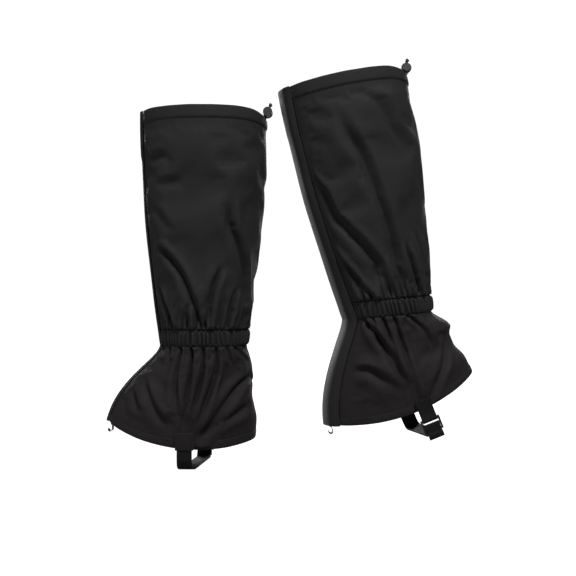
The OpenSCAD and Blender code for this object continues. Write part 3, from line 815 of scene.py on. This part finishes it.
def settle(grid, free, cap):
    """Lets cloth that is a little too big for its place buckle and come to rest, by cloth simulation. free is
    0 where the cloth is sewn down and 1 where it may move, by at most cap. Returns the settled points."""
    rows, cols = (every(SIM_SKIP, count) for count in free.shape)
    points, loose = grid[np.ix_(rows, cols)], free[np.ix_(rows, cols)]
    thing = make_object("settling", points.reshape(-1, 3), grid_faces(*loose.shape))
    group = thing.vertex_groups.new(name="sewn")
    for i, weight in enumerate(1 - loose.ravel()):
        if weight > 0.02:
            group.add([i], float(weight), "REPLACE")
    cloth = thing.modifiers.new("cloth", "CLOTH")
    for key, value in SIM_SETTINGS.items():
        setattr(cloth.settings, key, value)
    cloth.settings.effector_weights.gravity = 0
    cloth.point_cache.frame_start, cloth.point_cache.frame_end = 1, SIM_FRAMES
    for number in range(1, SIM_FRAMES + 1):
        bpy.context.scene.frame_set(number)
    shown = thing.evaluated_get(bpy.context.evaluated_depsgraph_get())
    settled = np.zeros(points.size)
    shown.data.vertices.foreach_get("co", settled)
    bpy.context.scene.frame_set(1)
    mesh = thing.data
    bpy.data.objects.remove(thing)
    bpy.data.meshes.remove(mesh)
    moved = (settled.reshape(points.shape) / MM - points) * loose[..., None]
    size = np.linalg.norm(moved, axis=-1, keepdims=True)
    moved *= cap * np.tanh(size / cap) / np.maximum(size, 1e-6)
    return grid + np.stack([spread(moved[..., k], rows, cols, grid.shape[:2]) for k in range(3)], -1)


def free_cloth(angle, h, low, high):
    """1 where cloth is free to buckle: away from the seams at heights low and high, and from the flap."""
    edge = 14.0
    inside = step(low, low + edge, h) * (1 - step(high - edge, high, h))
    return inside * (1 - under_flap(angle % 360, h, 16.0))


CALF = CALF_CLOTH, "calf_cloth"
BOOT = BOOT_CLOTH, "boot_cloth"
STRAP = WEBBING, "webbing"


def lay(leg, name, grid, thickness, finish, *nodes):
    """A sheet that stays with the gaiter and stands for CAD nodes. finish is its material and a slot name,
    which is not used.
    """
    dress(sheet(leg.name(name), grid, thickness), *finish, leg, leg.body, nodes)


def calf_panel(leg):
    heights = np.linspace(ANKLE_BAND - 1.5, UPPER_LEN - HEM_BAND + 2, 140)
    grid, angle, h = round_grid(leg, heights, calf_relief, -CLOTH / 2)
    grid = settle(grid, free_cloth(angle, h, ANKLE_BAND, UPPER_LEN - HEM_BAND), 2.2)
    lay(leg, "calf_cloth", grid, CLOTH, CALF, "calf_panel")


def channel_profile(open_h, fold_h, low, high, bulge, steps):
    """The middle line of cloth folded into a channel: up the outside, over the fold and down the inside."""
    s = 1 if fold_h > open_h else -1
    turn_h = fold_h - s * (high - low) / 2
    t = np.linspace(0, 1, steps)
    outside = np.stack([mix(open_h, turn_h, t), high + bulge * np.sin(np.pi * t) ** 0.7 - bulge * t], 1)
    a = np.linspace(0, np.pi, 11)[1:-1]
    over = np.stack([mix(turn_h, fold_h, np.sin(a)), mix(low, high - bulge, (1 + np.cos(a)) / 2)], 1)
    inside = np.stack([mix(turn_h, open_h, t[::2]), 0 * t[::2] + low], 1)
    profile = np.concatenate([outside, over, inside])
    return profile[:, :1], profile[:, 1:]


def crinkle(angle):
    """Tight crinkles where the drawcord leaves the channel at the back, and slow waves elsewhere."""
    back = bell(angle - 180, 17)
    out = 0.25 * np.sin(np.radians(angle * 9) + 1) + 0.2 * sine(angle * 17)
    return out + back * (1.0 * sine(angle * 64) + 0.7 * sine(angle * 47 + 40) - 0.2)


def top_hem(leg):
    rise, layer = channel_profile(UPPER_LEN - HEM_BAND, UPPER_LEN - 0.4, -2.4, 0.8, 0.4, 17)
    angle = round_columns(np.minimum(rise[:, 0], UPPER_LEN))
    h = rise + 0 * angle
    covered = under_flap(angle, h)
    share = np.clip((h - UPPER_LEN + HEM_BAND) / HEM_BAND, 0, 1)
    ripple = crinkle(angle) * (1 - covered) * step(0.02, 0.4, share)
    outer = layer > 0
    dimple = -(1.4 * (1 - step(0, 0.2, share)) + 0.3 * bell(share - 0.13, 0.04)) * outer
    layer = layer + 0.45 * ripple * np.where(outer, 1, 0.6) + dimple - 0.7 * covered * outer
    h = h + 0.25 * ripple * step(0.5, 1, share)
    lay(leg, "top_hem_cloth", leg.spot(angle, h, layer), 0.8, CALF, "top_hem")


def ankle_channel(leg):
    rise, layer = channel_profile(SEAM_GAP, ANKLE_BAND - 2.5, -2.6, 0.2, 1.0, 21)
    angle = front_angle(rise, -FLAP_ROOT) + SLIT + (360 - 2 * SLIT) * np.linspace(0, 1, RIB_COLUMNS)
    h = rise + 0 * angle
    covered = under_flap(angle, h)
    share = np.clip(h / ANKLE_BAND, 0, 1)
    middle = step(0, 0.15, share) * (1 - 0.3 * step(0.85, 1, share))
    ribs = band_ribs(leg, angle, h) * (1 - covered)
    row = np.exp(-(h - ANKLE_BAND + 4.5) ** 2)
    layer = layer + (layer > -0.5) * (2.4 * ribs * middle - row * (1 - covered) - 0.3 * covered)
    lay(leg, "ankle_channel_cloth", leg.spot(angle, h, layer), 0.8, CALF, "ankle_channel")


def ankle_elastic(leg):
    heights = np.linspace(3, ANKLE_BAND - 3, 14)
    grid = round_grid(leg, heights, lambda leg, angle, h: 0.12 * sine(angle * 120), -0.8)[0]
    lay(leg, "ankle_elastic_band", grid, 1.2, (ELASTIC, "elastic"), "ankle_elastic")


def boot_panels(leg):
    """The three boot panels, cut from one settled sheet at its side seams. Returns rows of seam stitches."""
    heights = np.linspace(-0.4, -LOWER_LEN + 1.5, 92)
    grid, angle, h = round_grid(leg, heights, boot_relief, -CLOTH / 2)
    grid = settle(grid, free_cloth(angle, h, -LOWER_LEN + BINDING, 0), 1.8)
    spans = {"toe_panel_outer": (0, OUTER_SEAM + 1), "heel_panel": (OUTER_SEAM, INNER_SEAM + 1),
             "toe_panel_inner": (INNER_SEAM, AROUND)}
    for node, (first, last) in spans.items():
        lay(leg, node + "_cloth", grid[:, first:last], CLOTH, BOOT, node)
    out = normals(grid)
    if np.sum(out[:, 0] * (grid[:, 0] - grid.mean((0, 1)))) < 0:
        out = -out
    columns = [seam + shift for seam in (OUTER_SEAM, INNER_SEAM) for shift in (-4, -2)]
    rows = slice(2, -5)
    return [(grid[rows, k] + out[rows, k] * (CLOTH / 2 + 0.05), out[rows, k]) for k in columns]


def bottom_hem(leg):
    rise, layer = channel_profile(-LOWER_LEN + BINDING, -LOWER_LEN, -1.8, 0.6, 0.2, 9)
    angle = round_columns(rise[:, 0])
    h = rise + 0 * angle
    row = -0.45 * bell(h + LOWER_LEN - BINDING + 1.3, 0.7) * (layer > -0.5)
    wave = 0.3 * sine(angle * 5) + 0.25 * sine(angle * 11 + 60)
    layer = layer + row + wave * (1 - under_flap(angle, h))
    lay(leg, "bottom_hem_cloth", leg.spot(angle, h, layer), 0.7, (BINDING_CLOTH, "binding"), "bottom_hem")


# ---------------------------------------------------------------- front closure

PEEL = 110.0            # height above the ankle band of the end point handed with the flap pieces to bake_transform, which does not use it


def flap_layer(leg, y, h):
    """How proud the flap stands: tight at its sewn edge, and lifting a little along its free edge."""
    off_seam = step(-FLAP_ROOT - 1, -FLAP_ROOT + 7, y)
    layer = mix(1.15, 3.1, off_seam)
    top = step(UPPER_LEN - 70, UPPER_LEN - 58, h)
    free = step(4, FLAP_FREE, y)
    layer = layer + (1.2 if leg is RIGHT else 0.4) * top * off_seam
    layer = layer + free * (0.5 + 0.5 * np.sin(h / 33 + (0 if leg is RIGHT else 2)) + 0.3 * np.sin(h / 13))
    layer = layer + 0.35 * np.sin(h / 21 + y / 30) * off_seam * step(-LOWER_LEN, -LOWER_LEN + 20, h)
    bend = bell(h - 2, 16)
    edge = step(FLAP_FREE - 5, FLAP_FREE, y)
    return mix(layer + 0.8 * bend * off_seam, 1.2, 0.75 * edge)


def front_points(leg, y, h, layer):
    """Points beside the front opening, for places across the cloth and up it."""
    return leg.spot(front_angle(h, y), h, layer)


def bend_with_flap(piece, leg):
    """Bakes a flap piece's placement into its mesh. The points at the ankle band and PEEL above it are worked
    out and passed on, but bake_transform does not use them.
    """
    start, end = leg.spot([0.0, 0.0], [ANKLE_BAND, ANKLE_BAND + PEEL]) * MM
    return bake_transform(piece, leg.body, leg.name("storm_flap"), start=tuple(start), end=tuple(end))


def storm_flap(leg):
    y = np.concatenate([[-FLAP_ROOT - 1.5], np.linspace(-FLAP_ROOT - 1, FLAP_FREE - 0.6, 38), [FLAP_FREE]])
    y, h = np.meshgrid(y, np.linspace(-LOWER_LEN - 0.5, UPPER_LEN + 0.5, 250))
    piece = sheet(leg.name("storm_flap_cloth"), front_points(leg, y, h, flap_layer(leg, y, h)), 1.3)
    dress(piece, FLAP_CLOTH, "flap_cloth", leg, None, ["storm_flap", "storm_flap_toe"])
    bend_with_flap(piece, leg)


STRIP_FROM = FLAP_FREE - 4 - CLOSURE_WID
STRIP_LOW, STRIP_HIGH = -LOWER_LEN + 9, UPPER_LEN - HEM_BAND - 2


def closure_strip(low, high):
    """Places across and up a strip of closure tape."""
    y = np.linspace(STRIP_FROM, STRIP_FROM + CLOSURE_WID, 14)
    return np.meshgrid(y, np.linspace(low, high, max(8, int((high - low) / 2.5))))


def hook_strips(leg):
    tape = HOOK_TAPE, "hook_tape"
    for name, low, high, nodes in (("hook_strip_upper", ANKLE_BAND + 4, STRIP_HIGH, ["hook_strip"]),
                                   ("hook_strip_lower", STRIP_LOW, -3, [])):
        lay(leg, name, front_points(leg, *closure_strip(low, high), 0.55), 0.6, tape, *nodes)


def loop_strip(leg):
    y, h = closure_strip(STRIP_LOW, STRIP_HIGH)
    piece = sheet(leg.name("loop_strip_tape"), front_points(leg, y, h, flap_layer(leg, y, h) - 1.15), 0.8)
    dress(piece, LOOP_TAPE, "loop_tape", leg, None, ["loop_strip", "loop_strip_toe"])
    bend_with_flap(piece, leg)


# ---------------------------------------------------------------- cord, straps and hardware

CORD_R = 1.3
CORD_APART = 1.55       # half the distance between the two strands in the lock
STRAND_REACH = 9.2      # from the lock's middle to the ends of the strands
STRAIGHT = 9.0          # how far the strands run straight below the middle of the cord lock


def drawcord(leg):
    axis = np.array(joints["right_cord_lock_slide"]["axis"])
    lock = np.array([RIM_LEN / 2 + 2, 0, UPPER_LEN])
    foot = np.array([RIM_LEN / 2 - 0.6, 0, UPPER_LEN - GATHER_DIP - 2])
    strand = np.array([lock + STRAND_REACH * axis, lock + 4 * axis, lock, lock - STRAIGHT * axis, foot])
    apart = np.array([0, CORD_APART, 0])
    outer = leg.on_leg(spline(strand + apart, 8))
    inner = leg.on_leg(spline((strand - apart)[::-1], 8))
    angle = np.linspace(174.5, -174.5, 240)
    loop = leg.spot(angle, np.full(240, UPPER_LEN - 6), -0.6)
    piece = tube(leg.name("drawcord_braid"), np.concatenate([outer, loop, inner]), CORD_R, 12)
    dress(piece, CORD, "cord", leg, leg.body, ["drawcord"])


patch_low, patch_high = box_mm("right_strap_anchor_patch")
PATCH = (patch_low + patch_high) / 2 - ORIGIN       # on the inner side: x along the foot, y outwards and z up
PATCH_HIGH = patch_high[2] - ORIGIN[2]
STRAP_LOW = box_mm("right_foot_strap")[0][2] - ORIGIN[2]


def on_bar(leg, joint):
    """The middle of a pivot's bar, in the foot frame."""
    x, y, z = leg.local(joints[leg.name(joint)]["pos_m"])
    x, z = turn(x, z, -leg.raised)
    return np.array([x, y, z])


def ribbon(leg, path, across, pitch, columns):
    """Points of webbing along a path in the foot frame, across it by a vector to either side."""
    path = resample(path, pitch)
    return leg.on_foot(path[:, None] + np.linspace(-1, 1, columns)[None, :, None] * np.array(across))


STRAP_WID = 20.0
STRAP_TH = 1.2
CATCH_DROP = 7.5        # from the buckle's upper bar to its middle bar
CATCH_R = 1.4
BAR_PLAY = 0.25
SPRING_WIRE = 0.32      # radius of the spring's wire
SPRING_TURNS = 3.5


def arc(centre, radius, start, end, steps=14):
    """Points in the plane across the foot, from one angle to another, in degrees from the outer side."""
    a = np.radians(np.linspace(start, end, steps))
    return np.stack([centre[0] + radius * np.cos(a), centre[1] + radius * np.sin(a)], 1)


def foot_strap(leg):
    bar = on_bar(leg, "buckle_pivot")
    low = STRAP_LOW + STRAP_TH / 2
    corner = 16.0
    inner = -(bar[1] - 0.7)
    catch = np.array([bar[1], bar[2] - CATCH_DROP])
    wrap = CATCH_R + BAR_PLAY + STRAP_TH / 2
    outer = catch[0] - wrap
    flat = np.concatenate([
        [[inner, PATCH_HIGH - 4], [inner, mix(PATCH_HIGH, low, 0.5)]],
        arc([inner + corner, low + corner], corner, 180, 270),
        arc([outer - corner, low + corner], corner, 270, 360),
        arc(catch, wrap, 180, 0),
        spline([[catch[0] + wrap, catch[1] - 3], [catch[0] + wrap + 0.5, catch[1] - 9],
                [catch[0] + wrap + 2.5, low + 4], [catch[0] + wrap + 2.0, low - 1.5]], 6),
    ])
    along = lengths(flat)
    under = step(along[-1] * 0.22, along[-1] * 0.5, along)
    path = np.stack([mix(PATCH[0], bar[0], under), flat[:, 0], flat[:, 1]], 1)
    grid = ribbon(leg, path, [STRAP_WID / 2, 0, 0], 1.0, 17)
    piece = sheet(leg.name("foot_strap_webbing"), grid, STRAP_TH)
    dress(piece, *STRAP, leg, None, ["foot_strap"])
    start = leg.on_foot(np.array([bar[0], mix(inner, outer, 0.3), low])) * MM
    end = leg.on_foot(np.array([bar[0], outer, low])) * MM
    leg.name("buckle")
    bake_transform(piece)


def tab_path(bar, top, radius, gap):
    """Webbing that comes down, goes round a bar and goes back up, across the foot."""
    lay = [[bar[0] - gap, top], [bar[0] - gap, bar[1] + 7]]
    up = [[bar[0] + gap, bar[1] + 7], [bar[0] + gap, top]]
    return np.concatenate([lay, arc(bar, radius, 170, 370, 18), up])


def buckle_tab(leg):
    bar = on_bar(leg, "buckle_pivot")
    flat = tab_path(bar[1:], PATCH_HIGH, 1.5 + BAR_PLAY + STRAP_TH / 2, STRAP_TH / 2 + 0.1)
    path = np.stack([0 * flat[:, 0] + bar[0], flat[:, 0], flat[:, 1]], 1)
    grid = ribbon(leg, path, [STRAP_WID / 2, 0, 0], 0.8, 17)
    lay(leg, "buckle_tab_webbing", grid, STRAP_TH, STRAP, "buckle_tab")


def anchor_patch(leg):
    wide, tall = STRAP_WID / 2 + 2, PATCH_HIGH - PATCH[2]
    x, z = np.meshgrid(np.linspace(-wide, wide, 27), np.linspace(-tall, tall, 26))
    edge = np.maximum(np.abs(x) / wide, np.abs(z) / tall)
    pillow = 0.35 * (1 - step(0.86, 1.0, edge)) - 0.3 * bell(edge - 0.82, 0.06)
    grid = leg.on_foot(np.stack([PATCH[0] + x, PATCH[1] + 0.25 - pillow, PATCH[2] + z], -1))
    lay(leg, "anchor_patch_cloth", grid, 1.0, BOOT, "strap_anchor_patch")


def lace_hook_tab(leg):
    x, _, z = on_bar(leg, "lace_hook_pivot")
    flat = tab_path([x, z], z + 20, 1.85, 0.65)
    path = np.stack([flat[:, 0], 0 * flat[:, 0], flat[:, 1]], 1)
    lay(leg, "lace_hook_tab_webbing", ribbon(leg, path, [0, 3.3, 0], 0.5, 9), 1.0, STRAP, "lace_hook_tab")


def lock_spring(leg):
    """The coil under the plunger, hung on the cord lock."""
    press = joints[leg.name("cord_button_press")]
    low, high = box_mm(leg.name("cord_lock_spring"))
    middle, size = (low + high) / 2, high - low
    along = np.linspace(-0.5, 0.5, 160)
    angle = 2 * np.pi * SPRING_TURNS * along
    radius = size[0] / 2 - SPRING_WIRE
    coil = np.stack([radius * np.cos(angle), (size[1] - 2 * SPRING_WIRE) * along, radius * np.sin(angle)], 1)
    piece = tube(leg.name("cord_lock_spring_coil"), middle + coil, SPRING_WIRE, 8, [1, 0, 0])
    dress(piece, SPRING_STEEL, "spring_steel", leg, leg.name("cord_lock"), ["cord_lock_spring"])
    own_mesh(piece)


def dress_cad(leg):
    """The hard parts keep their CAD shapes, with softened edges and a finish."""
    finishes = {
        "cord_lock_body": (LOCK_PLASTIC, 0.35), "cord_lock_button": (BUTTON_PLASTIC, 0.35),
        "cord_end": (LOCK_PLASTIC, 0.3), "lace_hook": (HOOK_METAL, 0.15), "buckle": (BUCKLE_PLASTIC, 0.3),
    }
    for node, (material, edge) in finishes.items():
        thing = frame["nodes"][leg.name(node)]
        thing.data.materials.clear()
        thing.data.materials.append(material)
        bevel = thing.modifiers.new("edges", "BEVEL")
        bevel.width = edge * MM
        bevel.segments = 2
        bevel.limit_method = "ANGLE"
        bevel.angle_limit = math.radians(40)


# ---------------------------------------------------------------- stitching

def row_on(surface):
    """A row of stitches on a surface. surface(lift) gives the row's points when they are lifted that far."""
    lift = 0.4
    low, high = surface(0.0), surface(lift)
    return low, (high - low) / lift


def stitched(leg, side_rows):
    """Every visible row of stitches that stays with the gaiter."""
    angle = np.linspace(FLAP_FREE * 1.25, 360 - FLAP_ROOT * 1.5, 900)
    levels = ((UPPER_LEN - HEM_BAND + 2.2, 0.7), (3.0, 1.55), (ANKLE_BAND - 4, 1.55),
              (-LOWER_LEN + BINDING - 1.3, 0.7))
    rows = [row_on(lambda lift: leg.spot(angle, h, top + lift)) for h, top in levels]
    dress(stitches(leg.name("seam_stitches"), rows + side_rows), THREAD, "binding", leg, leg.body)


def flap_stitches(leg):
    """Rows along the flap's free edge, both edges of its loop strip and its sewn edge, with its two ends."""
    up = np.linspace(-LOWER_LEN + 3, UPPER_LEN - 3, 500)
    over = np.linspace(-FLAP_ROOT + 1.2, FLAP_FREE - 2.2, 60)
    lines = [(y + 0 * up, up) for y in (-FLAP_ROOT + 1.2, FLAP_FREE - 2.2, FLAP_FREE - 5.2, STRIP_FROM + 1.2)]
    lines += [(over, h + 0 * over) for h in (-LOWER_LEN + 6, UPPER_LEN - HEM_BAND + 2.2)]
    rows = []
    for y, h in lines:
        rows.append(row_on(lambda lift: front_points(leg, y, h, flap_layer(leg, y, h) + 0.65 + lift)))
    piece = stitches(leg.name("flap_stitches"), rows)
    dress(piece, THREAD, "flap_cloth")
    bend_with_flap(piece, leg)


def box_stitch(leg, centre, wide, tall, out):
    """A stitched box with a cross in it, on webbing that faces the outer (out 1) or inner (out -1) side."""
    w, t = wide / 2, tall / 2
    corners = np.array([[-w, -t], [w, -t], [w, t], [-w, t], [-w, -t], [w, t], [w, -t], [-w, t]])
    rows = []
    for a, b in zip(corners, corners[1:]):
        x, z = mix(a, b, np.linspace(0, 1, 30)[:, None]).T
        rows.append(row_on(lambda lift: leg.on_foot(centre + np.stack([x, out * lift + 0 * x, z], 1))))
    return rows


def tab_stitches(leg):
    bar = on_bar(leg, "buckle_pivot")
    outer = [bar[0], bar[1] + STRAP_TH + 0.12, (PATCH_HIGH + bar[2] + 8) / 2]
    rows = box_stitch(leg, PATCH + [0, -0.62, 0.5], STRAP_WID - 1, 2 * (PATCH_HIGH - PATCH[2]) - 5, -1)
    rows += box_stitch(leg, outer, STRAP_WID - 4, PATCH_HIGH - bar[2] - 11, 1)
    dress(stitches(leg.name("tab_stitches"), rows), THREAD, "webbing", leg, leg.body)


# ---------------------------------------------------------------- the stage

WHITE = (1, 1, 1, 1)
SOFTBOXES = [       # name, place and the height it points at in metres, size and power
    ("key", (0.35, -1.05, 1.95), 0.25, 0.55, 34),
    ("left", (-1.7, -1.0, 0.75), 0.28, 0.6, 7),
    ("back_left", (-0.9, 1.9, 1.0), 0.25, 0.8, 30),
    ("back_right", (0.8, 1.9, 1.2), 0.25, 0.8, 30),
]


def studio():
    scene = bpy.context.scene
    scene.view_settings.view_transform = "Standard"
    scene.view_settings.look = "None"
    world = bpy.data.worlds.new("studio")
    scene.world = world
    world.use_nodes = True
    tree = world.node_tree
    tree.nodes.clear()
    seen = add(tree, "LightPath").outputs["Is Camera Ray"]
    light, plain = (add(tree, "Background", {"Color": WHITE, "Strength": power}) for power in (0.05, 1.05))
    both = add(tree, "MixShader", {0: seen, 1: light.outputs[0], 2: plain.outputs[0]})
    out = tree.nodes.new("ShaderNodeOutputWorld")
    tree.links.new(both.outputs[0], out.inputs[0])

    for box in SOFTBOXES:
        softbox(*box)

    bpy.ops.mesh.primitive_plane_add(size=12, location=(0, 2.0, -0.001))
    floor = bpy.context.object
    floor.name = "floor"
    paint = Finish("pale_floor")
    glow = paint.node("LightPath").outputs["Is Camera Ray"]
    connect(paint.tree, paint.shader, {
        "Base Color": (0.30, 0.30, 0.30, 1), "Roughness": 1.0, "Specular IOR Level": 0.0,
        "Emission Color": WHITE, "Emission Strength": glow,
    })
    floor.data.materials.append(paint.material)


def softbox(name, place, aim, size, power):
    light = bpy.data.lights.new(name, "AREA")
    light.shape = "SQUARE"
    light.size = size
    light.energy = power
    thing = bpy.data.objects.new(name, light)
    thing.location = place
    thing.rotation_euler = (Vector((0, 0, aim)) - Vector(place)).to_track_quat("-Z", "Y").to_euler()
    bpy.context.scene.collection.objects.link(thing)


def camera():
    data = bpy.data.cameras.new("camera")
    data.sensor_width = 36
    data.lens = 53.7
    thing = bpy.data.objects.new("camera", data)
    thing.location = (0.002, -1.171, 0.2425)
    thing.rotation_euler = (math.radians(90), 0, 0)
    bpy.context.scene.collection.objects.link(thing)
    bpy.context.scene.camera = thing


MAKERS = [
    calf_panel, top_hem, ankle_channel, ankle_elastic, bottom_hem, storm_flap, hook_strips, loop_strip,
    drawcord, foot_strap, buckle_tab, anchor_patch, lace_hook_tab, lock_spring, dress_cad, flap_stitches,
    tab_stitches,
]

for leg in (RIGHT, LEFT):
    for make in MAKERS:
        make(leg)
    stitched(leg, boot_panels(leg))

studio()
camera()
